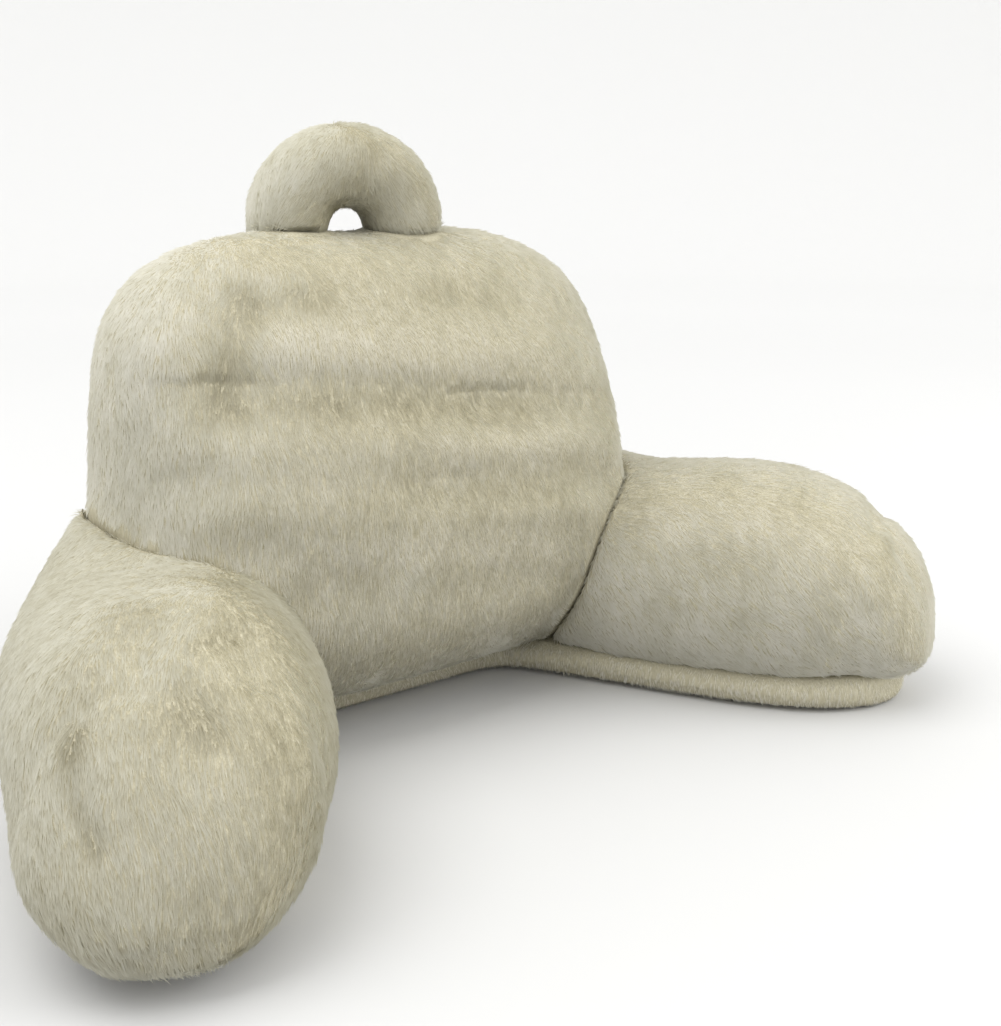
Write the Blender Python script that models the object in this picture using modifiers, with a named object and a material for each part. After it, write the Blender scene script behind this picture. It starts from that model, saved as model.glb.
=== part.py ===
"""Back support pillow in short-pile cloth.

An upright filled back carries two blunt arms that curve forward, a stuffed carry loop on top and
a U-shaped base panel whose low rim shows round the foot. Metres, +Z up, the seat side faces -Y.
"""
import math

import bmesh
import bpy
import numpy as np
from mathutils import Matrix, Vector

# Driving sizes
BACK_HEIGHT = 0.419
BACK_FOOT = 0.014
BACK_CENTRE_Y = 0.13
BACK_LEAN = 0.008
BACK_SWAY = -0.003
RIDGE_SETBACK = 0.018
PLAN_OFFSET = (-0.009, -0.003, 0.0)
SEAM_HEIGHT = 0.034
GAP = 0.0003
CUTTER_REACH = 0.5
FLOOR_CLEARANCE = 0.001
SPINE_SETBACK = 0.065
ARM_ROOT_RUN = 0.15

# Shape of the rounded ends: where the dome starts and how full it is
BACK_DOME = {"start": 0.62, "fullness": 3.2}
BACK_DEPTH_DOME = {"start": 0.71, "fullness": 2.0}
ARM_DOME = {"start": 0.45, "fullness": 2.6}
BASE_DOME = {"start": 0.75, "fullness": 2.2}

# Sections of the back and the arms: points round, fullness of the rounded outline, and rings
BACK_SECTION = {"points": 24, "fullness": 3.0, "body_rings": 10, "dome_rings": 8}
ARM_SECTION = {"points": 20, "fullness": 2.2, "body_rings": 8, "dome_rings": 8}
BASE_RINGS = {"body": 8, "dome": 5}

# The back from its foot to its top, by share of its height
BACK_ROWS = {
    "share": (0.0, 0.2, 0.4, 0.6, 0.8, 1.0),
    "half_width": (0.205, 0.225, 0.247, 0.243, 0.238, 0.238),
    "front_depth": (0.030, 0.120, 0.140, 0.132, 0.100, 0.100),
    "rear_depth": (0.066, 0.080, 0.085, 0.088, 0.088, 0.088),
}

# Each arm from its root inside the back to its tip, by share of its length
ARM_ROWS = {
    "share": (0.0, 0.33, 0.67, 1.0),
    "inner_half": (0.100, 0.113, 0.121, 0.118),
    "outer_half": (0.045, 0.113, 0.115, 0.116),
    "height": (0.275, 0.200, 0.214, 0.210),
}

# The two arms of the U: its straight run beside the centre, the radius of its bend, its heading
# and length to the tip, the tip's width and height against the table, how far the tip's dome
# lifts off the floor, how far the base panel reaches along it, and the end panel's own length
ARMS = {
    "left": {
        "side": -1, "centre_run": 0.09, "bend_radius": 0.14, "heading": math.radians(22.5),
        "length": 0.600, "tip_width": 0.935, "tip_height": 0.93, "tip_lift": 0.3, "base_reach": 0.89,
        "end_panel": 0.088,
    },
    "right": {
        "side": 1, "centre_run": 0.10, "bend_radius": 0.13, "heading": math.radians(26),
        "length": 0.602, "tip_width": 0.99, "tip_height": 0.98, "tip_lift": 0.5, "base_reach": 0.965,
        "end_panel": 0.060,
    },
}

# The base panel from the centre of the U to a tip, by share of its length
BASE_ROWS = {
    "share": (0.0, 0.2, 0.4, 0.7, 1.0),
    "inner_half": (0.098, 0.097, 0.096, 0.096, 0.096),
    "outer_half": (0.012, 0.016, 0.052, 0.090, 0.092),
}

# Half of the base panel's section: share of its half width, share of its height
BASE_SECTION = ((0.4, 0.0), (0.86, 0.0), (1.0, 0.3), (1.0, 0.75), (0.9, 1.0), (0.3, 1.0))

# The carry loop: the middle of its arch from the back's centre line, its turn about the vertical,
# the arch's radius and vertical stretch, half thickness across and along, how much slimmer its feet
# are, and how far below the middle they run into the back
HANDLE = {
    "centre": (-0.004, 0.024, 0.418), "turn": math.radians(-12), "radius": 0.0515, "stretch": 0.92,
    "half_thick": 0.038, "half_deep": 0.036, "foot_taper": 0.1, "foot_angle": 0.75,
    "fullness": 2.3, "points": 12, "rings": 17,
}

# Folds of the back, from its top down: start, end, reach to either side, and depth. A roll that
# stands proud has a negative depth.
BACK_FOLDS = (
    ("handle seat", (-0.030, 0.157, 0.419), (0.030, 0.157, 0.419), 0.050, 0.006),
    ("upper left dent", (-0.155, 0.075, 0.372), (-0.178, 0.046, 0.310), 0.024, 0.007),
    ("upper middle dent", (-0.130, 0.066, 0.372), (-0.100, 0.066, 0.370), 0.018, 0.004),
    ("upper right dent", (0.020, 0.060, 0.370), (0.085, 0.050, 0.362), 0.020, 0.004),
    ("upper roll", (-0.210, 0.090, 0.337), (0.140, 0.037, 0.312), 0.020, -0.005),
    ("shelf left", (-0.175, 0.043, 0.309), (0.050, 0.015, 0.282), 0.017, 0.007),
    ("shelf right", (0.050, 0.015, 0.282), (0.165, 0.020, 0.268), 0.017, 0.006),
    ("middle fold left", (-0.225, 0.050, 0.245), (-0.015, -0.004, 0.222), 0.018, 0.005),
    ("middle fold right", (-0.015, -0.004, 0.222), (0.175, 0.010, 0.198), 0.018, 0.006),
    ("middle roll", (-0.190, 0.020, 0.220), (0.140, 0.000, 0.176), 0.016, -0.004),
    ("lower fold", (-0.185, 0.015, 0.198), (0.135, 0.002, 0.154), 0.016, 0.005),
    ("lap fold", (-0.135, 0.002, 0.157), (0.125, 0.006, 0.120), 0.017, 0.006),
    ("lap lump", (-0.050, -0.005, 0.148), (-0.015, -0.006, 0.142), 0.016, -0.004),
    ("side crease", (-0.238, 0.087, 0.270), (-0.243, 0.079, 0.205), 0.016, 0.006),
)

# Folds of the arms, near their end panels
ARM_FOLDS = {
    "left": (
        ("outer pucker", (-0.313, -0.090, 0.188), (-0.333, -0.118, 0.176), 0.014, 0.005),
        ("inner pucker", (-0.255, -0.105, 0.184), (-0.268, -0.140, 0.172), 0.014, 0.005),
        ("panel pucker", (-0.321, -0.140, 0.168), (-0.316, -0.172, 0.150), 0.014, 0.004),
        ("outer lobe crease", (-0.391, -0.132, 0.125), (-0.388, -0.160, 0.102), 0.016, 0.005),
    ),
    "right": (
        ("panel crease", (0.340, -0.178, 0.150), (0.345, -0.190, 0.110), 0.014, 0.005),
        ("inner lobe crease", (0.274, -0.175, 0.105), (0.262, -0.165, 0.070), 0.016, 0.004),
    ),
}

# The drawn-in seam round each end panel: reach to either side and depth
END_SEAM = {"reach": 0.013, "deep": 0.005}

# Cloth of each piece: colour and roughness
FINISHES = {
    "back_cushion": ((0.52, 0.49, 0.39), 0.95),
    "arm_left": ((0.51, 0.48, 0.38), 0.95),
    "arm_right": ((0.51, 0.48, 0.38), 0.95),
    "arm_end_left": ((0.50, 0.47, 0.37), 0.95),
    "arm_end_right": ((0.50, 0.47, 0.37), 0.95),
    "carry_handle": ((0.50, 0.47, 0.36), 0.95),
    "base_panel": ((0.45, 0.42, 0.32), 0.95),
}


def clear_scene():
    """Remove every object of the scene."""
    for obj in list(bpy.data.objects):
        bpy.data.objects.remove(obj, do_unlink=True)


def make_collection(name):
    """A new collection under the scene's own."""
    collection = bpy.data.collections.new(name)
    bpy.context.scene.collection.children.link(collection)
    return collection


def read_rows(rows, column, share):
    """One column of a table at any share of its length, by a smooth curve through the rows."""
    stations = np.asarray(rows["share"], float)
    values = np.asarray(rows[column], float)
    slopes = np.gradient(values, stations)
    row = np.clip(np.searchsorted(stations, share, side="right") - 1, 0, len(stations) - 2)
    step = stations[row + 1] - stations[row]
    u = np.clip((share - stations[row]) / step, 0.0, 1.0)
    start = values[row] * (1 + 2 * u) * (1 - u) ** 2 + slopes[row] * step * u * (1 - u) ** 2
    end = values[row + 1] * u * u * (3 - 2 * u) + slopes[row + 1] * step * u * u * (u - 1)
    return start + end


def dome(share, shape):
    """Width that is left at a share of the length: 1 up to the dome's start, 0 at its tip."""
    run = np.clip((share - shape["start"]) / (1.0 - shape["start"]), 0.0, 1.0)
    return (1.0 - run ** shape["fullness"]) ** (1.0 / shape["fullness"])


def stations(first, shape, body_count, dome_count):
    """Shares of the length for the rings: even along the body, then even round the dome."""
    body = np.linspace(first, shape["start"], body_count, endpoint=False)
    turn = np.linspace(0.0, 0.97 * math.pi / 2, dome_count)
    tip = shape["start"] + (1.0 - shape["start"]) * np.sin(turn) ** (2.0 / shape["fullness"])
    return np.concatenate([body, tip])


def unit_ring(count, power):
    """A superellipse of half width 1 both ways, grown by what the rounding takes off its points."""
    turn = np.linspace(0.0, 2.0 * math.pi, count, endpoint=False)
    growth = 3.0 / (2.0 + math.cos(2.0 * math.pi / count))
    across = np.sign(np.cos(turn)) * np.abs(np.cos(turn)) ** (2.0 / power)
    along = np.sign(np.sin(turn)) * np.abs(np.sin(turn)) ** (2.0 / power)
    return growth * across, growth * along


def spine(arm, distance):
    """Centre line of the U: a run to the side, a bend of one radius, then straight to the tip.

    Gives x, y and the heading, counted from straight forward, at a distance from the centre."""
    run, radius, heading = arm["centre_run"], arm["bend_radius"], arm["heading"]
    turned = min(max((distance - run) / radius, 0.0), math.pi / 2 - heading)
    rest = max(distance - run - radius * (math.pi / 2 - heading), 0.0)
    out = min(distance, run) + radius * math.sin(turned) + rest * math.sin(heading)
    forward = radius * (1.0 - math.cos(turned)) + rest * math.cos(heading)
    return arm["side"] * out, BACK_CENTRE_Y + SPINE_SETBACK - forward, math.pi / 2 - turned


def loft(name, rings, collection):
    """A closed cage through the rings, with one flat face at each end."""
    mesh = bpy.data.meshes.new(name)
    count = len(rings[0])
    points = [tuple(point) for ring in rings for point in ring]
    faces = [list(range(count))[::-1], list(range((len(rings) - 1) * count, len(rings) * count))]
    for row in range(len(rings) - 1):
        for place in range(count):
            following = (place + 1) % count
            low, high = row * count, (row + 1) * count
            faces.append([low + place, low + following, high + following, high + place])
    mesh.from_pydata(points, [], faces)
    shape = bmesh.new()
    shape.from_mesh(mesh)
    bmesh.ops.recalc_face_normals(shape, faces=shape.faces)
    shape.to_mesh(mesh)
    shape.free()
    obj = bpy.data.objects.new(name, mesh)
    collection.objects.link(obj)
    return obj


def soften(obj):
    """Round the cage with one level of Subdivision Surface and keep the result as its mesh."""
    rounding = obj.modifiers.new("Rounding", "SUBSURF")
    rounding.levels = 1
    rounding.render_levels = 1
    depsgraph = bpy.context.evaluated_depsgraph_get()
    rounded = bpy.data.meshes.new_from_object(obj.evaluated_get(depsgraph))
    obj.modifiers.clear()
    obj.data = rounded
    obj.data.name = obj.name


def press_folds(obj, folds):
    """Press each fold into the surface: deepest on its line, fading as a bell to either side."""
    points = np.array([vertex.co for vertex in obj.data.vertices])
    depth = np.zeros(len(points))
    for _, start, end, reach, deep in folds:
        start, end = np.array(start), np.array(end)
        along = (points - start) @ (end - start) / np.dot(end - start, end - start)
        nearest = start + np.clip(along, 0.0, 1.0)[:, None] * (end - start)
        away = np.linalg.norm(points - nearest, axis=1)
        depth += deep * np.exp(-(away / reach) ** 2)
    press(obj, depth)


def press_seam(obj, frame, reach, deep):
    """Draw the surface in along the seam that lies in the XZ plane of the frame."""
    points = np.array([frame.inverted() @ vertex.co for vertex in obj.data.vertices])
    press(obj, deep * np.exp(-(points[:, 1] / reach) ** 2))


def press(obj, depth):
    """Move each point of the mesh inward by its own depth."""
    mesh = obj.data
    points = np.array([vertex.co for vertex in mesh.vertices])
    normals = np.array([vertex.normal for vertex in mesh.vertices])
    mesh.vertices.foreach_set("co", (points - depth[:, None] * normals).ravel())
    mesh.update()


def split_faces(obj):
    """Split every face into triangles, so that each copy of a curved face has the same surface."""
    shape = bmesh.new()
    shape.from_mesh(obj.data)
    bmesh.ops.triangulate(shape, faces=shape.faces)
    shape.to_mesh(obj.data)
    shape.free()


def cut(obj, cutter, operation="DIFFERENCE"):
    """Cut the object with the cutter, or keep only what lies inside it."""
    modifier = obj.modifiers.new(cutter.name, "BOOLEAN")
    modifier.operation = operation
    modifier.solver = "EXACT"
    modifier.object = cutter


def as_cutter(obj):
    """Mark an object as a guide that is not part of the pillow."""
    obj.hide_render = True
    obj.display_type = "WIRE"
    return obj


def box_cutter(name, low, high, placement, collection):
    """A box between two corners in the frame of the placement matrix."""
    bpy.ops.mesh.primitive_cube_add(size=1.0)
    obj = bpy.context.object
    obj.name = name
    size = Vector(high) - Vector(low)
    middle = (Vector(high) + Vector(low)) / 2
    obj.data.transform(Matrix.Translation(middle) @ Matrix.Diagonal(size).to_4x4())
    obj.matrix_world = placement
    for owner in list(obj.users_collection):
        owner.objects.unlink(obj)
    collection.objects.link(obj)
    return as_cutter(obj)


def swollen_copy(obj, collection):
    """The same form grown by the gap, to cut its neighbours with."""
    copy = bpy.data.objects.new(obj.name + "_swollen", obj.data.copy())
    collection.objects.link(copy)
    swell = copy.modifiers.new("Swell", "DISPLACE")
    swell.strength = GAP
    swell.mid_level = 0.0
    return as_cutter(copy)


def build_back(collection):
    """The upright back: a loft of wide rounded sections with a domed top edge."""
    first = BACK_FOOT / BACK_HEIGHT
    rings = []
    across, along = unit_ring(BACK_SECTION["points"], BACK_SECTION["fullness"])
    for share in stations(first, BACK_DOME, BACK_SECTION["body_rings"], BACK_SECTION["dome_rings"]):
        width = read_rows(BACK_ROWS, "half_width", share) * dome(share, BACK_DOME)
        deep = dome(share, BACK_DEPTH_DOME)
        front = read_rows(BACK_ROWS, "front_depth", share) * deep
        rear = read_rows(BACK_ROWS, "rear_depth", share) * deep
        x = BACK_SWAY * share + width * across
        middle = BACK_CENTRE_Y + BACK_LEAN * share + RIDGE_SETBACK * (1.0 - deep)
        y = middle + np.where(along < 0, front, rear) * along
        rings.append(np.column_stack([x, y, np.full(len(x), share * BACK_HEIGHT)]))
    obj = loft("back_cushion", rings, collection)
    soften(obj)
    press_folds(obj, BACK_FOLDS)
    split_faces(obj)
    return obj


def arm_form(name, arm, collection):
    """One whole arm: rounded sections along the U's centre line, swelling to a blunt domed end."""
    rings = []
    across, up = unit_ring(ARM_SECTION["points"], ARM_SECTION["fullness"])
    for share in stations(0.0, ARM_DOME, ARM_SECTION["body_rings"], ARM_SECTION["dome_rings"]):
        distance = ARM_ROOT_RUN + (arm["length"] - ARM_ROOT_RUN) * share
        x, y, heading = spine(arm, distance)
        left = dome(share, ARM_DOME)
        slim = left * (1.0 - (1.0 - arm["tip_width"]) * share)
        inner = read_rows(ARM_ROWS, "inner_half", share) * slim
        outer = read_rows(ARM_ROWS, "outer_half", share) * slim
        full = read_rows(ARM_ROWS, "height", share) / 2
        full *= 1.0 - (1.0 - arm["tip_height"]) * share
        middle = full * left + full * (1.0 - left) * arm["tip_lift"]
        aside = np.where(across > 0, outer, inner) * across
        ring_x = x + arm["side"] * math.cos(heading) * aside
        ring_y = y + math.sin(heading) * aside
        rings.append(np.column_stack([ring_x, ring_y, middle + full * left * up]))
    obj = loft(name, rings, collection)
    soften(obj)
    return obj


def tip_frame(arm, distance):
    """Frame on the centre line whose -Y runs on towards the tip and whose +X points outward."""
    x, y, heading = spine(arm, distance)
    turn = Matrix.Rotation(arm["side"] * heading, 4, "Z")
    return Matrix.Translation((x, y, 0.0)) @ turn


def build_arm(label, neighbours, collection, cutters):
    """An arm and its domed end panel, split at the panel's seam and cut to their neighbours."""
    arm = ARMS[label]
    body = arm_form("arm_" + label, arm, collection)
    frame = tip_frame(arm, arm["length"] - arm["end_panel"])
    press_folds(body, ARM_FOLDS[label])
    press_seam(body, frame, **END_SEAM)
    panel = bpy.data.objects.new("arm_end_" + label, body.data.copy())
    collection.objects.link(panel)
    low = (-CUTTER_REACH, -CUTTER_REACH, -CUTTER_REACH)
    high = (CUTTER_REACH, GAP / 2, CUTTER_REACH)
    beyond = box_cutter("beyond_seam_" + label, low, high, frame, cutters)
    high = (CUTTER_REACH, -GAP / 2, CUTTER_REACH)
    inside = box_cutter("panel_space_" + label, low, high, frame, cutters)
    cut(body, beyond)
    cut(panel, inside, "INTERSECT")
    for neighbour in neighbours:
        cut(body, neighbour)
        cut(panel, neighbour)
    return [body, panel]


def build_handle(back_cutter, collection):
    """The carry loop: a stuffed tube round an arch whose feet run down into the back."""
    rings = []
    across, deep = unit_ring(HANDLE["points"], HANDLE["fullness"])
    turn = Matrix.Rotation(HANDLE["turn"], 3, "Z")
    middle = Vector(HANDLE["centre"]) + Vector((0.0, BACK_CENTRE_Y, 0.0))
    for angle in np.linspace(-HANDLE["foot_angle"], math.pi + HANDLE["foot_angle"], HANDLE["rings"]):
        slim = 1.0 - HANDLE["foot_taper"] * math.cos(angle) ** 2
        radius = HANDLE["radius"] + HANDLE["half_thick"] * slim * across
        x = radius * math.cos(angle)
        z = radius * math.sin(angle) * HANDLE["stretch"]
        y = HANDLE["half_deep"] * slim * deep
        rings.append([middle + turn @ Vector(point) for point in zip(x, y, z)])
    obj = loft("carry_handle", rings, collection)
    soften(obj)
    cut(obj, back_cutter)
    return obj


def build_base(collection):
    """The base panel: a low flat-bottomed section along the whole U, round at both tips."""
    rings = []
    section = np.array(BASE_SECTION + tuple((-share, up) for share, up in BASE_SECTION[::-1]))
    shares = stations(0.0, BASE_DOME, BASE_RINGS["body"], BASE_RINGS["dome"])
    plan = [(ARMS["left"], share) for share in shares[:0:-1]]
    plan += [(ARMS["right"], share) for share in shares]
    for arm, share in plan:
        x, y, heading = spine(arm, share * arm["length"] * arm["base_reach"])
        left = dome(share, BASE_DOME)
        inner = read_rows(BASE_ROWS, "inner_half", share) * left
        outer = read_rows(BASE_ROWS, "outer_half", share) * left
        aside = np.where(section[:, 0] > 0, outer, inner) * section[:, 0]
        ring_x = x + arm["side"] * math.cos(heading) * aside
        ring_y = y + math.sin(heading) * aside
        rings.append(np.column_stack([ring_x, ring_y, SEAM_HEIGHT * section[:, 1]]))
    obj = loft("base_panel", rings, collection)
    soften(obj)
    split_faces(obj)
    return obj


def finish(obj):
    """Give the object its own cloth material and smooth shading."""
    colour, roughness = FINISHES[obj.name]
    material = bpy.data.materials.new(obj.name + "_cloth")
    material.use_nodes = True
    shader = material.node_tree.nodes["Principled BSDF"]
    shader.inputs["Base Color"].default_value = (*colour, 1.0)
    shader.inputs["Roughness"].default_value = roughness
    shader.inputs["Metallic"].default_value = 0.0
    obj.data.materials.clear()
    obj.data.materials.append(material)
    obj.data.shade_smooth()


def centre_on_plan(objects, collection):
    """Carry everything on one empty that puts the middle of the pillow's plan at the origin."""
    frame = bpy.data.objects.new("pillow_frame", None)
    collection.objects.link(frame)
    for obj in objects:
        obj.parent = frame
    frame.location = PLAN_OFFSET


def build_pillow():
    """All sub-parts of the pillow, each cut a gap short of its neighbours."""
    clear_scene()
    parts = make_collection("back_support_pillow")
    cutters = make_collection("cutters")
    back = build_back(parts)
    base = build_base(parts)
    back_cutter = swollen_copy(back, cutters)
    base_cutter = swollen_copy(base, cutters)
    low = (-CUTTER_REACH, -CUTTER_REACH, -CUTTER_REACH)
    high = (CUTTER_REACH, CUTTER_REACH, SEAM_HEIGHT + GAP)
    below_seam = box_cutter("below_seam", low, high, Matrix.Identity(4), cutters)
    high = (CUTTER_REACH, CUTTER_REACH, FLOOR_CLEARANCE)
    below_floor = box_cutter("below_floor", low, high, Matrix.Identity(4), cutters)
    cut(back, below_seam)
    pieces = [back, base, build_handle(back_cutter, parts)]
    for label in ARMS:
        pieces += build_arm(label, (back_cutter, base_cutter, below_floor), parts, cutters)
    for obj in pieces:
        finish(obj)
    centre_on_plan(list(parts.objects) + list(cutters.objects), parts)


build_pillow()
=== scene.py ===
import math
import bmesh
import bpy
import numpy as np
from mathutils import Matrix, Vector
from mathutils.bvhtree import BVHTree


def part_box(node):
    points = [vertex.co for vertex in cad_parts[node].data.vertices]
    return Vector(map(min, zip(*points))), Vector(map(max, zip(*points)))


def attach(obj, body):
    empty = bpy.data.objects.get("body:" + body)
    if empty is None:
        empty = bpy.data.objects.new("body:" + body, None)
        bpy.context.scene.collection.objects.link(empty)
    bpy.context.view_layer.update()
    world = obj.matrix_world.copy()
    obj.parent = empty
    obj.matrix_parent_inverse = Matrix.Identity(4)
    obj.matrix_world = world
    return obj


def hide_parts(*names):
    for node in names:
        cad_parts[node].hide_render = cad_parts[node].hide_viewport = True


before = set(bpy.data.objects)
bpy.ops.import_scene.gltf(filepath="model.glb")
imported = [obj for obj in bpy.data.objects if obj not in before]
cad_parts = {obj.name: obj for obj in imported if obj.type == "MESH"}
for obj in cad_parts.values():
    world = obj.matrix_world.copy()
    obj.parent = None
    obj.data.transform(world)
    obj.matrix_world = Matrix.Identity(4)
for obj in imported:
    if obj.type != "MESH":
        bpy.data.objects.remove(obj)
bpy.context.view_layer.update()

# Back cushion
# One big filled section in short-pile faux fur. The cover is cut full and stuffed until it lies in
# soft rolls across the front. The pile is brushed down the face and parts along the folds.

MM = 0.001


def length_of(vectors):
    """The length of each row, kept above zero, as a column."""
    return np.maximum(np.linalg.norm(vectors, axis=1, keepdims=True), 1e-9)


def read_mesh(mesh):
    """(points, point normals, triangles) of a mesh, as arrays."""
    points = np.empty(len(mesh.vertices) * 3, np.float32)
    mesh.vertices.foreach_get("co", points)
    normals = np.empty(len(mesh.vertices) * 3, np.float32)
    mesh.vertices.foreach_get("normal", normals)
    mesh.calc_loop_triangles()
    corners = np.empty(len(mesh.loop_triangles) * 3, np.int32)
    mesh.loop_triangles.foreach_get("vertices", corners)
    points, normals = (values.reshape(-1, 3).astype(float) for values in (points, normals))
    return points, normals, corners.reshape(-1, 3)


def read_layer(mesh, title):
    """The numbers of a mesh's point attribute."""
    values = np.empty(len(mesh.vertices), np.float32)
    mesh.attributes[title].data.foreach_get("value", values)
    return values.astype(float)


def write_points(mesh, points):
    """Puts new places into a mesh's points."""
    mesh.vertices.foreach_set("co", np.asarray(points, np.float32).ravel())
    mesh.update()


def baked(obj):
    """Replaces an object's mesh with what its modifiers make of it, and drops the modifiers."""
    evaluated = obj.evaluated_get(bpy.context.evaluated_depsgraph_get())
    mesh = bpy.data.meshes.new_from_object(evaluated)
    obj.modifiers.clear()
    old, obj.data = obj.data, mesh
    bpy.data.meshes.remove(old)
    mesh.name = obj.name


def welded(name, nodes):
    """A new object with the surfaces of some CAD nodes, each welded along its edges."""
    form = bmesh.new()
    for node in nodes:
        form.from_mesh(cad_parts[node].data)
    bmesh.ops.remove_doubles(form, verts=form.verts, dist=0.01 * MM)
    mesh = bpy.data.meshes.new(name)
    form.to_mesh(mesh)
    form.free()
    obj = bpy.data.objects.new(name, mesh)
    bpy.context.scene.collection.objects.link(obj)
    return obj


def cad_tree(node):
    """A search tree of a CAD node's surface."""
    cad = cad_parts[node].data
    return BVHTree.FromPolygons([v.co for v in cad.vertices], [p.vertices for p in cad.polygons])


def nearest_on(points, nodes, limit):
    """(distance, surface normal) at the nearest spot of some CAD nodes to each point, up to a limit.
    The tree answers one point at a time, so only points near enough to a node's box are asked about."""
    gap = np.full(len(points), limit)
    out = np.zeros((len(points), 3))
    for node in nodes:
        tree = cad_tree(node)
        low, high = (np.array(corner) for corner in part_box(node))
        outside = np.maximum(0, np.maximum(low - points, points - high))
        for k in np.flatnonzero(np.linalg.norm(outside, axis=1) < gap):
            _, normal, _, distance = tree.find_nearest(Vector(points[k]), gap[k])
            if distance is not None and distance < gap[k]:
                gap[k] = distance
                out[k] = normal
    return gap, out


def smooth_step(values, low, high):
    """0 below low, 1 above high, and the curve 3t^2 - 2t^3 between them."""
    t = np.clip((values - low) / (high - low), 0, 1)
    return t * t * (3 - 2 * t)


PRESSURE = 4
CLOTH_STEPS = 20
LEAST_SWELL = 0.6              # the share of its cap that each point swells at least


def puff(obj, cap):
    """Blows the cover up as cloth under pressure, and lets each point move as far as its own cap."""
    start, normals, _ = read_mesh(obj.data)
    cloth = obj.modifiers.new("Cloth", "CLOTH")
    cloth.settings.use_pressure = True
    cloth.settings.uniform_pressure_force = PRESSURE
    cloth.settings.effector_weights.gravity = 0
    for step in range(1, CLOTH_STEPS + 1):
        bpy.context.scene.frame_set(step)
    baked(obj)
    bpy.context.scene.frame_set(1)
    move = read_mesh(obj.data)[0] - start
    out = (move * normals).sum(1)
    move += normals * np.maximum(0, LEAST_SWELL * cap - out)[:, None]
    write_points(obj.data, start + move * np.minimum(1, cap[:, None] / length_of(move)))


def from_line(points, start, end):
    """The vector to each point from the nearest spot of the line from start to end."""
    a, b = np.array(start), np.array(end)
    along = np.clip((points - a) @ (b - a) / max((b - a) @ (b - a), 1e-9), 0, 1)
    return points - (a + along[:, None] * (b - a))


def press(points, normals, rows):
    """Pushes points in along their normals near each line from start to end, by deep times the bell
    exp(-(distance / reach)^2). The bell has one reach above the line and another below it, and a
    negative deep fills the cloth out instead."""
    moved = points.copy()
    for start, end, reach_up, reach_down, deep in rows:
        away = from_line(points, start, end)
        reach = np.where(away[:, 2] > 0, reach_up, reach_down)
        moved -= normals * (deep * np.exp(-(np.linalg.norm(away, axis=1) / reach) ** 2))[:, None]
    return moved


def relaxed(mesh, points, rounds):
    """Moves each point halfway to the mean of its neighbours, and does that a number of times."""
    ends = np.empty(len(mesh.edges) * 2, np.int32)
    mesh.edges.foreach_get("vertices", ends)
    ends = ends.reshape(-1, 2)
    ends = np.concatenate([ends, ends[:, ::-1]])
    count = np.bincount(ends[:, 0], minlength=len(points))[:, None]
    for _ in range(rounds):
        total = [np.bincount(ends[:, 0], points[ends[:, 1], k], len(points)) for k in range(3)]
        points = (points + np.stack(total, axis=1) / count) / 2
    return points


VOXEL = 8 * MM                 # one square of the net, before it is subdivided
SWELL = 5 * MM                 # how far free cloth swells
PILE_DEPTH = 2.5 * MM          # how far the lying pile stands off the cloth
CONTACT = 1.5 * MM             # pieces that face each other this close are sewn or pressed together
APART = 4 * MM                 # pieces further apart than this don't touch
OPEN_CLOTH = 22 * MM           # further from a neighbour than this, the cloth is free to swell
FACING = (0.80, 0.95)          # the cosines from which cloth and its neighbour begin to, and do, face
FACING_DOWN = (0.6, 0.9)       # the same for cloth and the floor
FLOOR_ZONE = 10 * MM           # cloth that faces down below this height rests on the floor
SEAM_GAP = 0.5 * MM            # all cloth lies inside its solid by this, so that neighbours stay clear
CLOTH_FLOOR = 0.8 * MM         # the lowest place of any cloth above the floor


def stuffed(name, nodes, neighbours, creases, depth=PILE_DEPTH, ease=0):
    """The cloth under the pile of some CAD nodes: their surface as one net of even squares, taken in by
    the depth of the pile and the swell to come, blown up, subdivided, eased where it is free, and
    creased along its seams. Its attribute free is 0 where it lies against a neighbour, and else 1."""
    obj = welded(name, nodes)
    remesh = obj.modifiers.new("Remesh", "REMESH")
    remesh.mode = "VOXEL"
    remesh.voxel_size = VOXEL
    baked(obj)
    points, normals, _ = read_mesh(obj.data)
    room, other = nearest_on(points, neighbours, 1.5 * OPEN_CLOTH)
    against = smooth_step(-(normals * other).sum(1), *FACING)
    free = 1 - against * (1 - smooth_step(room, CONTACT, APART))
    resting = smooth_step(-normals[:, 2], *FACING_DOWN) * (points[:, 2] < FLOOR_ZONE)
    swell = SWELL * smooth_step(room, CONTACT, OPEN_CLOTH) * (1 - resting)
    pile_room = depth * free * (1 - resting)
    take_in = SEAM_GAP + pile_room + swell
    write_points(obj.data, points - normals * take_in[:, None])
    puff(obj, swell + 0.1 * MM)
    points, normals, _ = read_mesh(obj.data)
    sunk = nearest_on(points, nodes, 10 * MM)[0] - pile_room
    write_points(obj.data, points + normals * np.maximum(0, sunk - SEAM_GAP)[:, None])
    layer = obj.data.attributes.new("free", "FLOAT", "POINT")
    layer.data.foreach_set("value", free.astype(np.float32))
    divide = obj.modifiers.new("Subdivision", "SUBSURF")
    divide.levels = divide.render_levels = 1
    baked(obj)
    points, normals, _ = read_mesh(obj.data)
    give = smooth_step(read_layer(obj.data, "free"), 0.5, 1.0)[:, None]
    points += give * (relaxed(obj.data, points, ease) - points)
    points += give * (press(points, normals, creases) - points)
    points[:, 2] = np.maximum(points[:, 2], CLOTH_FLOOR)
    write_points(obj.data, points)
    obj.data.shade_smooth()
    return obj


def linear(hex_colour):
    """An sRGB colour as linear RGBA: each channel c is ((c + 0.055) / 1.055)^2.4 above 0.04045."""
    channels = [int(hex_colour[k:k + 2], 16) / 255 for k in (1, 3, 5)]
    curve = [c / 12.92 if c <= 0.04045 else ((c + 0.055) / 1.055) ** 2.4 for c in channels]
    return (*curve, 1.0)


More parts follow.
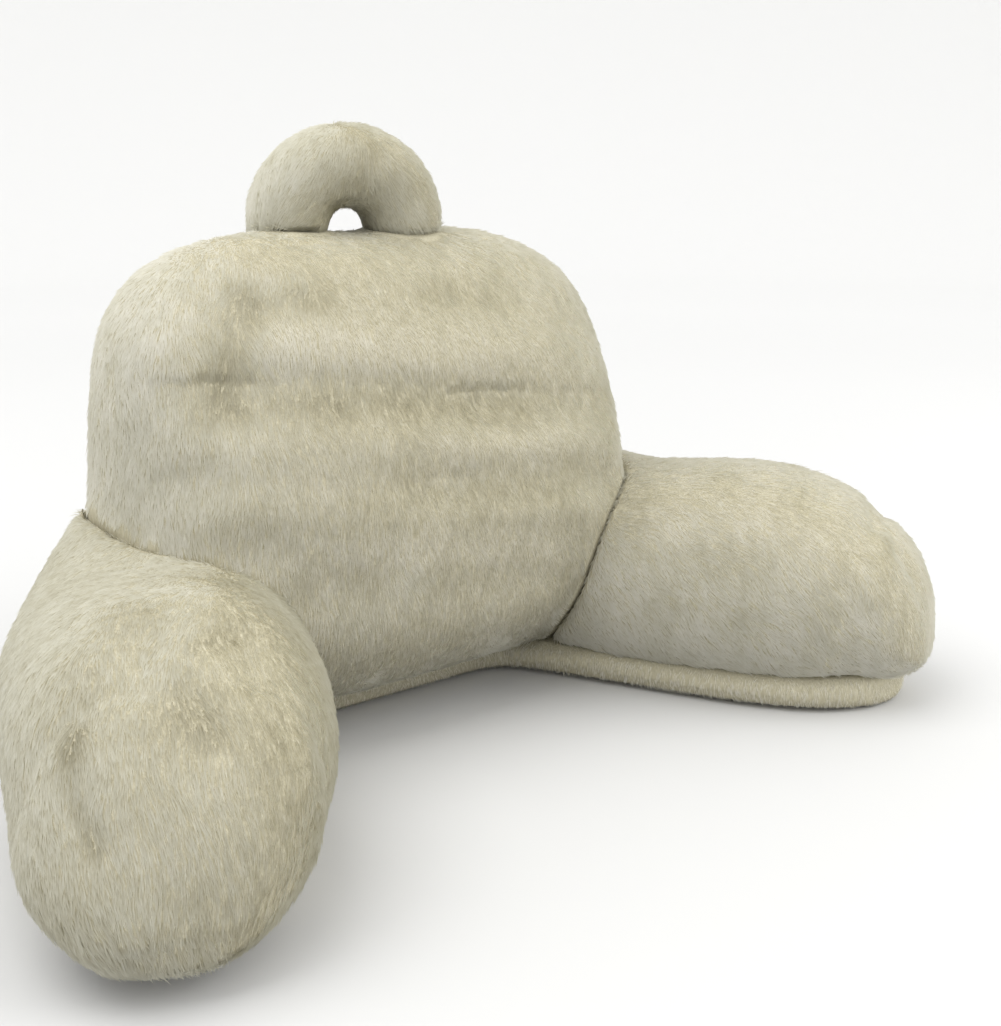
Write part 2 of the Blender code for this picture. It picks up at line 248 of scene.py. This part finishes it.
def add_node(tree, kind, settings=None, **inputs):
    """Adds a node. A setting is one of its properties. An input is a value, or a socket to link from."""
    node = tree.nodes.new(kind)
    for key, value in (settings or {}).items():
        setattr(node, key, value)
    for key, value in inputs.items():
        socket = node.inputs[int(key[1:])] if key[0] == "_" else node.inputs[key.replace("_", " ")]
        if isinstance(value, bpy.types.NodeSocket):
            tree.links.new(value, socket)
        else:
            socket.default_value = value
    return node


def new_material(name):
    """An empty node material and its output node."""
    material = bpy.data.materials.new(name)
    material.use_nodes = True
    material.node_tree.nodes.clear()
    return material, add_node(material.node_tree, "ShaderNodeOutputMaterial")


def ramp(tree, factor, stops):
    """A colour ramp through (place, sRGB hex) stops."""
    node = add_node(tree, "ShaderNodeValToRGB", Fac=factor)
    band = node.color_ramp
    while len(band.elements) < len(stops):
        band.elements.new(0.5)
    for element, (place, colour) in zip(band.elements, stops):
        element.position = place
        element.color = linear(colour)
    return node


# Knitted polyester backing, seen only between the hairs. It is matt and a little darker than the pile,
# partly as painted shade for the depth of the pile, whose hairs cast no shadow, and it is streaked by
# the roots of the hairs, which stand 1 to 2 mm apart.
BACKING_TONES = [(0.30, "#a09a80"), (0.52, "#b1ab94"), (0.75, "#c0bba5")]
STREAK_ACROSS = 1.6 * MM
STREAK_ALONG = 9 * MM

backing, surface = new_material("knitted_pile_backing")
tree = backing.node_tree
place = add_node(tree, "ShaderNodeTexCoord").outputs["Object"]
stretch = add_node(
    tree, "ShaderNodeMapping", Vector=place,
    Scale=(1 / STREAK_ACROSS, 1 / STREAK_ACROSS, 1 / STREAK_ALONG)
)
streaks = add_node(
    tree, "ShaderNodeTexNoise", Vector=stretch.outputs[0], Scale=1.0, Detail=3.0, Roughness=0.6
)
tones = ramp(tree, streaks.outputs["Fac"], BACKING_TONES)
nubs = add_node(
    tree, "ShaderNodeBump", Height=streaks.outputs["Fac"], Strength=0.6, Distance=1.0 * MM
)
shader = add_node(
    tree, "ShaderNodeBsdfPrincipled", Base_Color=tones.outputs[0], Roughness=0.9,
    Normal=nubs.outputs[0]
)
tree.links.new(shader.outputs[0], surface.inputs["Surface"])

# Polyester faux fur, sheared to 12 mm. Each fibre is pale at its tip and painted a little darker and
# yellower at its root: painted shade and the warm light bounced deep in the pile, which casts no shadow
# of its own. It is soft and matt, with a faint sheen where the pile turns away from the eye.
PILE_UV = "OFBake"             # u is the hair's tone, with its painted shade and light, v runs from its root to its tip
ROOT_TONES = [(0.0, "#8c856a"), (0.5, "#b9b39c"), (1.0, "#d4d0c1")]
TIP_TONES = [(0.0, "#a59f88"), (0.35, "#c4c0ac"), (0.65, "#d6d4c5"), (1.0, "#e5e3d9")]

pile, surface = new_material("faux_fur_pile")
tree = pile.node_tree
hair = add_node(tree, "ShaderNodeUVMap", {"uv_map": PILE_UV}).outputs[0]
split = add_node(tree, "ShaderNodeSeparateXYZ", Vector=hair)
roots = ramp(tree, split.outputs["X"], ROOT_TONES)
tips = ramp(tree, split.outputs["X"], TIP_TONES)
rise = add_node(tree, "ShaderNodeMapRange", {"interpolation_type": "SMOOTHSTEP"},
                Value=split.outputs["Y"], _1=0.0, _2=0.7)
fibre = add_node(tree, "ShaderNodeMix", {"data_type": "RGBA"}, _0=rise.outputs[0],
                 _6=roots.outputs[0], _7=tips.outputs[0])
shader = add_node(
    tree, "ShaderNodeBsdfPrincipled", Base_Color=fibre.outputs[2], Roughness=0.75,
    Sheen_Weight=0.15, Sheen_Roughness=0.5, Sheen_Tint=linear("#f4f1e6")
)
through = add_node(tree, "ShaderNodeBsdfTranslucent", Color=fibre.outputs[2])
both = add_node(tree, "ShaderNodeMixShader", Fac=0.42, _1=shader.outputs[0], _2=through.outputs[0])
tree.links.new(both.outputs[0], surface.inputs["Surface"])


def ripple(points, size, seed):
    """A smooth uneven field of about unit strength: eight sine waves of about the given length, in
    random directions, added up."""
    rng = np.random.default_rng(seed)
    total = np.zeros(len(points))
    for _ in range(8):
        way = rng.normal(size=3)
        way *= 2 * math.pi / size * rng.uniform(0.7, 1.4) / np.linalg.norm(way)
        total += np.sin(points @ way + rng.uniform(0, 2 * math.pi))
    return total / 2


def wander(points, size, seed):
    """Three ripples as one vector field."""
    return np.stack([ripple(points, size, seed + k) for k in range(3)], axis=1)


def combed(points, flow, partings):
    """(flow, shade): the pile turned away from each parting line near it, and the shade painted on its
    tone there, since the pile casts no shadow of its own; a negative dark paints light instead. Both
    fall off as exp(-(distance / reach)^2)."""
    shade = np.zeros(len(points))
    for start, end, reach, spread, dark in partings:
        away = from_line(points, start, end)
        near = np.exp(-(np.linalg.norm(away, axis=1) / reach) ** 2)
        flow = flow + spread * near[:, None] * away / length_of(away)
        shade += dark * near
    return flow, shade


FULL_CREASE = 10 * MM          # a crease this deep gets the full painted shade


def in_creases(points, rows):
    """How deep each point lies in the creases, 0 to 1: how far they press it in over a full crease. It
    sets the shade painted on the pile there.
    """
    inward = np.tile([0.0, -1.0, 0.0], (len(points), 1))
    return np.clip((press(points, inward, rows) - points)[:, 1] / FULL_CREASE, 0, 1)


def everywhere(points):
    """1 for each point."""
    return np.ones(len(points))


def rooted(skin, blades, rng, where):
    """(roots, cloth normals, freedom) of hairs spread evenly over the free cloth of a skin: each is a
    random spot in a triangle that is drawn by its area, its freedom and where."""
    points, normals, corners = read_mesh(skin.data)
    free = read_layer(skin.data, "free")
    a, b, c = (points[corners[:, k]] for k in range(3))
    area = np.linalg.norm(np.cross(b - a, c - a), axis=1) / 2
    weight = area * smooth_step(free[corners].mean(1), 0.1, 0.6) * where((a + b + c) / 3)
    edge = np.cumsum(weight)
    chosen = np.minimum(np.searchsorted(edge, rng.random(blades) * edge[-1]), len(edge) - 1)
    u, v = rng.random(blades), rng.random(blades)
    over = u + v > 1
    u[over], v[over] = 1 - u[over], 1 - v[over]
    share = np.stack([1 - u - v, u, v], axis=1)[:, :, None]
    root = (points[corners[chosen]] * share).sum(1)
    normal = (normals[corners[chosen]] * share).sum(1)
    loose = (free[corners[chosen]] * share[:, :, 0]).sum(1)
    return root, normal / length_of(normal), loose


HAIR_CORNERS = np.array([0, 1, 2, 0, 2, 3])     # the points of its two triangles
HAIR_HEIGHTS = np.array([0.02, 0.02, 0.5, 0.02, 0.5, 0.98])


def hair_mesh(name, places, facing, tone):
    """A mesh of hairs of four points and two triangles each. The points of a hair share one normal, and
    the UV is (tone, height along the hair)."""
    blades = len(places)
    mesh = bpy.data.meshes.new(name)
    mesh.vertices.add(blades * 4)
    mesh.vertices.foreach_set("co", places.astype(np.float32).ravel())
    order = (np.arange(blades)[:, None] * 4 + HAIR_CORNERS).astype(np.int32)
    mesh.loops.add(blades * 6)
    mesh.loops.foreach_set("vertex_index", order.ravel())
    mesh.polygons.add(blades * 2)
    mesh.polygons.foreach_set("loop_start", np.arange(0, blades * 6, 3, dtype=np.int32))
    layout = mesh.uv_layers.new(name=PILE_UV)
    spots = np.stack([np.repeat(tone[:, None], 6, 1), np.tile(HAIR_HEIGHTS, (blades, 1))], axis=2)
    layout.data.foreach_set("uv", spots.astype(np.float32).ravel())
    mesh.update()
    mesh.validate()
    mesh.normals_split_custom_set_from_vertices(np.repeat(facing, 4, axis=0).astype(np.float32))
    return mesh


PILE_LENGTH = 12 * MM          # the longest hair, from its root to its tip
SEAM_LENGTH = 0.72             # the share of its length that a hair has at a seam
HAIR_WIDTH = 0.8 * MM          # a lock of some fibres, since a single one is too fine to show
HAIR_FLOOR = 0.5 * MM          # the lowest place of any hair above the floor
LIFT = 9                       # degrees that a hair stands off the cloth, and how much that varies
LIFT_WAVE, LIFT_NOISE = 2.5, 3.5
STEEPER, FLATTER = 0.14, 0.12  # radians more below the knee of a hair, and less above it
KNEE = 0.45                    # where along its length it bends
NAP_WAVES = (0.11, 60 * MM), (0.06, 14 * MM)    # how far the nap wanders, and over what length
NAP_NOISE = 0.09
TONE_WAVES = (0.04, 70 * MM), (0.04, 16 * MM)   # the same for the tone
TONE_NOISE = 0.07
# Painted shade: how much darker the pile is painted deep in a crease and at a seam.
PAINTED_CREASE_SHADE, PAINTED_SEAM_SHADE = 0.22, 0.16


def planted(name, skin, blades, nap, creases, partings, seed, tint, where=everywhere, long=1.0):
    """Pile on a skin. A hair is a bent blade of two triangles: it follows the nap along the cloth, with
    some drift, rises from its root, and lies down again above its knee. Its tone is the tint with some
    drift. It gets painted shade in partings, creases and seams and painted light on the crests of rolls,
    since the pile casts no shadow of its own. Each piece's tint is set to how bright it looks under the
    lights, so the differences between pieces are painted light and shade too."""
    rng = np.random.default_rng(seed)
    root, normal, loose = rooted(skin, blades, rng, where)
    flow, shade = combed(root, nap(root), partings)
    for (strength, wave), start in zip(NAP_WAVES, (10, 20)):
        flow = flow + strength * wander(root, wave, seed + start)
    flow = flow + NAP_NOISE * rng.normal(size=(blades, 3))
    flow -= (flow * normal).sum(1, keepdims=True) * normal
    flow /= length_of(flow)
    size = long * PILE_LENGTH * (SEAM_LENGTH + (1 - SEAM_LENGTH) * loose) * rng.uniform(0.5, 1.0, blades)
    lift = LIFT + LIFT_WAVE * ripple(root, 18 * MM, seed + 30) + rng.normal(0, LIFT_NOISE, blades)
    lift = np.radians(lift)
    rise = np.clip(lift + STEEPER, 0.05, 1.2)[:, None]
    lie = np.clip(lift - FLATTER, 0.0, 1.2)[:, None]
    knee = root + KNEE * size[:, None] * (flow * np.cos(rise) + normal * np.sin(rise))
    tip = knee + (1 - KNEE) * size[:, None] * (flow * np.cos(lie) + normal * np.sin(lie))
    across = np.cross(flow, normal) * (HAIR_WIDTH * rng.uniform(0.35, 0.6, blades))[:, None]
    places = np.stack([root - across, root + across, knee + across * 0.7, tip], axis=1)
    places[:, :, 2] = np.maximum(places[:, :, 2], HAIR_FLOOR)
    facing = normal * (1 + np.cos(lift))[:, None] - flow * np.sin(lift)[:, None]
    tone = tint
    for (strength, wave), start in zip(TONE_WAVES, (40, 50)):
        tone = tone + strength * ripple(root, wave, seed + start)
    # Painted shade in partings, creases and seams, and painted light on the crests of rolls.
    tone = tone - shade - PAINTED_CREASE_SHADE * in_creases(root, creases) - PAINTED_SEAM_SHADE * (1 - loose)
    tone = np.clip(tone + rng.normal(0, TONE_NOISE, blades), 0.02, 0.98)

    mesh = hair_mesh(name, places, facing / length_of(facing), tone)
    mesh.materials.append(pile)
    obj = bpy.data.objects.new(name, mesh)
    # Fine soft fibres glow through instead of shading each other. The skin casts the shadow.
    obj.visible_shadow = False
    bpy.context.scene.collection.objects.link(obj)
    return obj


def finish_soft(skin, nodes, furs):
    """Gives a skin its backing, hides the CAD nodes it stands for, and lets its pile go with it."""
    skin.data.materials.clear()
    skin.data.materials.append(backing)
    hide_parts(*nodes)
    for piece in (skin, *furs):
        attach(piece, "root")


# start, end, reach up, reach down, deep, in metres. Under each roll comes a step in that runs out
# slowly further down.
BACK_CREASES = [
    ((-0.194, 0.044, 0.316), (0.041, 0.012, 0.290), 0.014, 0.040, 0.005),
    ((0.041, 0.012, 0.290), (0.166, 0.018, 0.275), 0.014, 0.036, 0.004),
    ((-0.214, 0.042, 0.250), (-0.024, -0.007, 0.228), 0.016, 0.028, 0.002),
    ((-0.024, -0.007, 0.228), (0.166, 0.007, 0.206), 0.016, 0.030, 0.003),
    ((-0.144, -0.001, 0.159), (0.116, 0.003, 0.122), 0.016, 0.026, 0.001),
]

# start, end, reach in metres, spread, dark. Dark is painted shade, where the pile parts or lies under a
# roll, and a negative dark is a painted highlight. Where spread is 0 the pile isn't parted: it is
# painted pale on the crest of a roll, and painted darker under it, where shade falls.
BACK_PARTINGS_AND_PAINTED_LIGHT = [
    ((-0.155, 0.072, 0.372), (-0.187, 0.043, 0.300), 0.018, 0.6, 0.50),
    ((-0.139, 0.063, 0.372), (-0.100, 0.063, 0.370), 0.017, 0.7, 0.42),
    ((0.011, 0.057, 0.370), (0.076, 0.047, 0.362), 0.015, 0.7, 0.35),
    ((-0.160, 0.045, 0.342), (0.041, 0.014, 0.318), 0.022, 0.0, -0.34),
    ((0.041, 0.014, 0.318), (0.120, 0.016, 0.306), 0.020, 0.0, -0.24),
    ((-0.190, 0.040, 0.300), (0.100, 0.010, 0.270), 0.017, 0.0, 0.24),
    ((-0.020, -0.004, 0.252), (0.150, 0.008, 0.230), 0.017, 0.0, -0.18),
    ((-0.190, 0.030, 0.226), (0.100, -0.002, 0.196), 0.014, 0.0, 0.14),
    ((-0.110, -0.002, 0.182), (0.100, 0.002, 0.146), 0.014, 0.0, -0.14),
]


def back_nap(points):
    """The pile runs down the back, fans out to both sides, and turns forward over the top."""
    fan = 1.6 * points[:, 0]
    turn = 0.9 * (points[:, 1] - 0.10)
    return np.stack([fan + 0.12, -0.25 + turn, np.full(len(points), -1.0)], axis=1)


REAR_FROM = 0.11               # the depth behind which the rear's own pile begins


def in_front(points):
    """1 on the part of the back that faces the seat, with its top and sides, and 0 behind."""
    return (points[:, 1] < REAR_FROM).astype(float)


def behind(points):
    """1 where in_front is 0."""
    return 1 - in_front(points)


back = stuffed("back_skin", ["back_cushion"], ["arm_left", "arm_right", "base_panel", "carry_handle"],
               BACK_CREASES, ease=16)
back_pile = [
    planted("back_pile_front", back, 96000, back_nap, BACK_CREASES, BACK_PARTINGS_AND_PAINTED_LIGHT, 1,
            tint=0.76, where=in_front),
    planted("back_pile_rear", back, 62000, back_nap, [], [], 2, tint=0.78, where=behind),
]
finish_soft(back, ["back_cushion"], back_pile)

# Arms
# Two stubby filled arms sewn to the lower sides of the back. A domed panel closes the front end of
# each, and its seam pulls the fur into a crease with puckers.

# start, end, reach up, reach down, deep, in metres. A deep below 0 swells the cloth out: it softens
# the seam round the end panel, and the last row fills out the foot of the near arm's end.
ARM_LEFT_CREASES = [
    ((-0.360, -0.118, 0.168), (-0.318, -0.141, 0.172), 0.012, 0.012, -0.001),
    ((-0.318, -0.141, 0.172), (-0.255, -0.167, 0.144), 0.013, 0.013, -0.004),
    ((-0.255, -0.167, 0.144), (-0.278, -0.206, 0.105), 0.013, 0.013, -0.004),
    ((-0.322, -0.093, 0.188), (-0.342, -0.121, 0.176), 0.008, 0.008, 0.003),
    ((-0.264, -0.108, 0.184), (-0.290, -0.118, 0.184), 0.007, 0.007, 0.003),
    ((-0.400, -0.138, 0.130), (-0.397, -0.170, 0.100), 0.008, 0.008, 0.003),
    ((-0.405, -0.110, 0.056), (-0.392, -0.172, 0.046), 0.040, 0.030, -0.014),
]
ARM_RIGHT_CREASES = [
    ((0.318, -0.173, 0.151), (0.280, -0.192, 0.115), 0.010, 0.010, -0.002),
    ((0.338, -0.184, 0.133), (0.335, -0.190, 0.110), 0.008, 0.008, 0.002),
]
# start, end, reach in metres, spread, dark. Dark is shade painted into the partings along the seams and
# puckers.
ARM_LEFT_PARTINGS = [
    ((-0.330, -0.143, 0.170), (-0.325, -0.172, 0.152), 0.016, 0.35, 0.36),
    ((-0.264, -0.108, 0.184), (-0.300, -0.118, 0.184), 0.009, 0.5, 0.35),
    ((-0.390, -0.127, 0.142), (-0.384, -0.123, 0.150), 0.009, 0.6, 0.45),
    ((-0.400, -0.138, 0.130), (-0.397, -0.170, 0.100), 0.008, 0.5, 0.35),
]
ARM_RIGHT_PARTINGS = [
    ((0.125, -0.060, 0.195), (0.120, -0.045, 0.130), 0.020, 0.5, 0.30),
    ((0.318, -0.173, 0.151), (0.280, -0.192, 0.115), 0.012, 0.5, 0.25),
    ((0.154, -0.035, 0.146), (0.200, -0.125, 0.138), 0.020, 0.35, 0.22),
    ((0.156, -0.060, 0.100), (0.199, -0.130, 0.090), 0.013, 0.3, 0.16),
    ((0.248, -0.174, 0.138), (0.240, -0.178, 0.085), 0.010, 0.3, 0.14),
]

ARM_REAR, ARM_REACH = 0.12, 0.30       # where an arm's curve begins, and how far forward it goes


def arm_nap(side):
    """The nap of one arm: outward and down at its rear, and it turns forward along the curve."""
    def nap(points):
        bend = np.clip((ARM_REAR - points[:, 1]) / ARM_REACH, 0, 1)
        down = np.full(len(points), -0.8)
        return np.stack([side * (0.9 - 0.7 * bend), -0.3 - 0.5 * bend, down], axis=1)
    return nap


arm_left = stuffed("arm_left_skin", ["arm_left", "arm_end_left"], ["back_cushion", "base_panel"],
                   ARM_LEFT_CREASES)
# The near arm's pile gets a darker tint than the far arm's, though both are one fur: painted shade, set
# to the light each arm gets.
arm_left_pile = planted("arm_left_pile", arm_left, 84000, arm_nap(-1), ARM_LEFT_CREASES,
                        ARM_LEFT_PARTINGS, 3, tint=0.55)
finish_soft(arm_left, ["arm_left", "arm_end_left"], [arm_left_pile])

arm_right = stuffed("arm_right_skin", ["arm_right", "arm_end_right"], ["back_cushion", "base_panel"],
                    ARM_RIGHT_CREASES)
arm_right_pile = planted("arm_right_pile", arm_right, 76000, arm_nap(1), ARM_RIGHT_CREASES,
                         ARM_RIGHT_PARTINGS, 4, tint=0.84)
finish_soft(arm_right, ["arm_right", "arm_end_right"], [arm_right_pile])

# Carry handle
# A fat stuffed loop sewn to the top of the back by both feet, with a hole for two fingers.

HANDLE_MIDDLE = -0.013         # the loop's middle across the width
HANDLE_TURN = 0.05             # how far to each side of it the nap has turned outward
HANDLE_PILE_DEPTH = 0.8 * MM   # it lies closer on the loop, which is thin
# start, end, reach in metres, spread, dark: shade is painted on the pile round the hole, where the
# inside of the loop lies in shade.
HANDLE_HOLE_SHADE = [
    ((HANDLE_MIDDLE, 0.100, 0.436), (HANDLE_MIDDLE, 0.200, 0.436), 0.036, 0.0, 0.30),
]


def handle_nap(points):
    """The pile runs from the top of the loop down both of its legs."""
    side = np.clip((points[:, 0] - HANDLE_MIDDLE) / HANDLE_TURN, -1, 1)
    return np.stack([0.8 * side, np.full(len(points), -0.3), np.full(len(points), -0.8)], axis=1)


handle = stuffed("handle_skin", ["carry_handle"], ["back_cushion"], [],
                 depth=HANDLE_PILE_DEPTH)
handle_pile = planted("handle_pile", handle, 26000, handle_nap, [], HANDLE_HOLE_SHADE, 5, tint=0.68)
finish_soft(handle, ["carry_handle"], [handle_pile])

# Base panel
# A flat U-shaped panel under the back and both arms, with a low rim that rounds up to their seam.


def base_nap(points):
    """The pile runs down the rim, a little outward, and backwards under the flat."""
    ones = np.ones(len(points))
    return np.stack([0.3 * np.sign(points[:, 0]), 0.1 * ones, -1.0 * ones], axis=1)


base = stuffed("base_skin", ["base_panel"], ["back_cushion", "arm_left", "arm_right",
                                             "arm_end_left", "arm_end_right"], [])
# The arms shade the rim, so a tint above 1 keeps nearly all of its hairs at the palest tone.
base_pile = planted("base_pile", base, 24000, base_nap, [], [], 6, tint=1.05, long=0.6)
finish_soft(base, ["base_panel"], [base_pile])

# Floor, light and camera
# Pale paper that sweeps up all round like a dish, one large soft light above on the left and one
# lower in front on the right, and the camera at the angle of the photograph.

FLAT_RINGS = [0.0, 2.0, 4.0]   # radii of the rings on the flat
RIM_START, RIM_SIZE = 4.8, 2.2
RIM_STEPS, SWEEP_SIDES = 24, 96

# The dish turns a profile round the upright axis: the flat rings, and then a quarter of a circle.
profile = np.linspace(0, 1, RIM_STEPS) * math.pi / 2
reach = np.concatenate([FLAT_RINGS, RIM_START + RIM_SIZE * np.sin(profile)])
height = np.concatenate([np.zeros(len(FLAT_RINGS)), RIM_SIZE * (1 - np.cos(profile))])
turn = np.linspace(0, 2 * math.pi, SWEEP_SIDES, endpoint=False)
grid = np.stack([np.outer(reach, np.cos(turn)), np.outer(reach, np.sin(turn)),
                 np.outer(height, np.ones_like(turn))], axis=2).reshape(-1, 3)
rows, columns = len(reach), len(turn)
i, j = np.meshgrid(np.arange(rows - 1), np.arange(columns), indexing="ij")
k = (j + 1) % columns
ring, next_ring = i * columns, (i + 1) * columns
faces = np.stack([ring + j, next_ring + j, next_ring + k, ring + k], axis=2)
sweep_mesh = bpy.data.meshes.new("studio_sweep")
sweep_mesh.from_pydata(grid.tolist(), [], faces.reshape(-1, 4).tolist())
sweep_mesh.update()
sweep_mesh.shade_smooth()
sweep = bpy.data.objects.new("studio_sweep", sweep_mesh)
bpy.context.scene.collection.objects.link(sweep)

# Matt white background paper. It is a little greyer in the middle, where the light is strongest, so
# that it looks even.
PAPER_RADIUS = 6.0             # metres from the middle that count as 1 in the shades
PAPER_SHADES = [
    (0.0, "#c6c6c5"), (0.17, "#cececd"), (0.33, "#d8d8d7"), (0.58, "#e3e3e2"), (0.83, "#e8e8e7")
]

paper, surface = new_material("matt_white_paper")
tree = paper.node_tree
spot = add_node(tree, "ShaderNodeTexCoord").outputs["Object"]
out = add_node(tree, "ShaderNodeVectorMath", {"operation": "LENGTH"}, Vector=spot)
share = add_node(
    tree, "ShaderNodeMath", {"operation": "DIVIDE"}, _0=out.outputs["Value"], _1=PAPER_RADIUS
)
shade = ramp(tree, share.outputs[0], PAPER_SHADES)
sheet = add_node(tree, "ShaderNodeBsdfDiffuse", Color=shade.outputs[0])
tree.links.new(sheet.outputs[0], surface.inputs["Surface"])
sweep_mesh.materials.append(paper)

world = bpy.data.worlds.new("pale_studio")
world.use_nodes = True
world.node_tree.nodes["Background"].inputs["Color"].default_value = linear("#ffffff")
world.node_tree.nodes["Background"].inputs["Strength"].default_value = 1.22
bpy.context.scene.world = world
bpy.context.scene.view_settings.view_transform = "Standard"

SOFTBOX_SIZE = 1.8
SOFTBOX_AIM = Vector((0, 0, 0.15))


def softbox(name, place, power):
    """A square area light that faces the pillow and that the camera doesn't see."""
    lamp = bpy.data.lights.new(name, "AREA")
    lamp.size = SOFTBOX_SIZE
    lamp.energy = power
    obj = bpy.data.objects.new(name, lamp)
    obj.location = place
    obj.rotation_euler = (SOFTBOX_AIM - Vector(place)).to_track_quat("-Z", "Y").to_euler()
    obj.visible_camera = False
    bpy.context.scene.collection.objects.link(obj)


softbox("key_light", (-0.9, 0.3, 2.2), 30)
softbox("fill_light", (1.5, -1.7, 1.3), 30)

# Degrees from straight in front and above the floor, and metres from the target.
AZIMUTH, ELEVATION, DISTANCE = -39.0, 14.3, 1.163
TARGET = Vector((0.055, 0.027, 0.178))

camera = bpy.data.cameras.new("photo_camera")
camera.sensor_width = 36
camera.lens = 48
camera.clip_end = 40
viewer = bpy.data.objects.new("photo_camera", camera)
across, up = math.radians(AZIMUTH), math.radians(ELEVATION)
back_off = Vector((math.sin(across) * math.cos(up), -math.cos(across) * math.cos(up), math.sin(up)))
viewer.location = TARGET + back_off * DISTANCE
viewer.rotation_euler = (-back_off).to_track_quat("-Z", "Y").to_euler()
bpy.context.scene.collection.objects.link(viewer)
bpy.context.scene.camera = viewer
